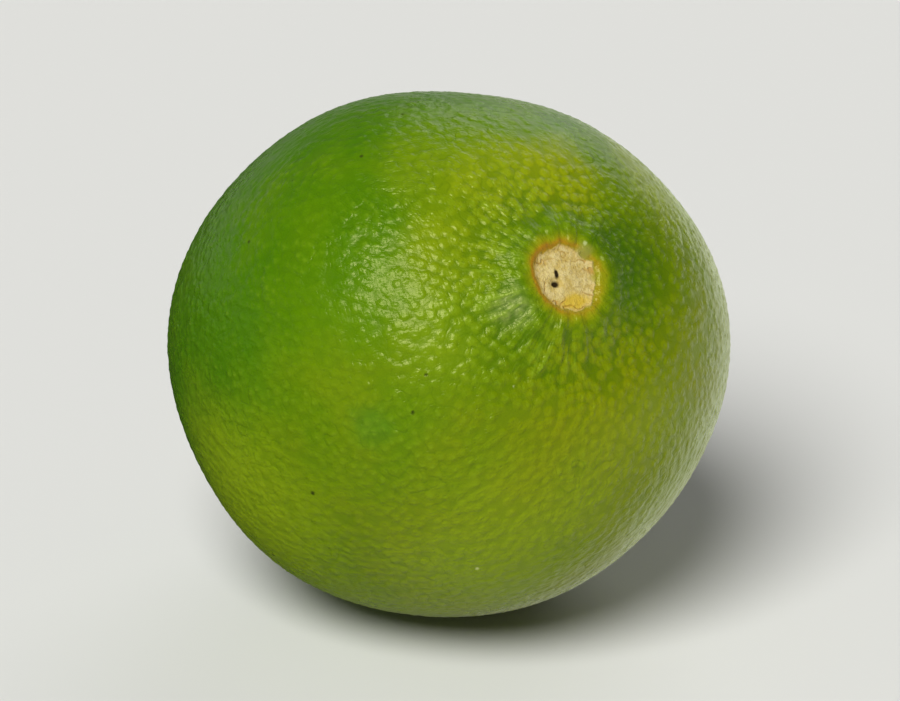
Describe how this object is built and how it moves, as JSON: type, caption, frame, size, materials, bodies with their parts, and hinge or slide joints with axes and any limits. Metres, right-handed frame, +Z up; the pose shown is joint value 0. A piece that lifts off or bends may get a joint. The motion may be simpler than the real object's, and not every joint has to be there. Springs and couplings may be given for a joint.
{
  "type": "lime",
  "caption": "Whole green lime, slightly longer than wide, with a corky stem scar at one end and a blunt nipple at the other.",
  "frame": {"origin": "middle of the small flat spot that the fruit rests on", "axes": "+Z up from the surface it rests on; +X level, along the fruit towards its stem end, which is raised by about 35 degrees; +Y level, across the fruit"},
  "size_m": [0.0622, 0.0599, 0.0596],
  "materials": {
    "peel": "satin"
  },
  "bodies": {
    "root": {"lime": "peel"}
  },
  "joints": []
}
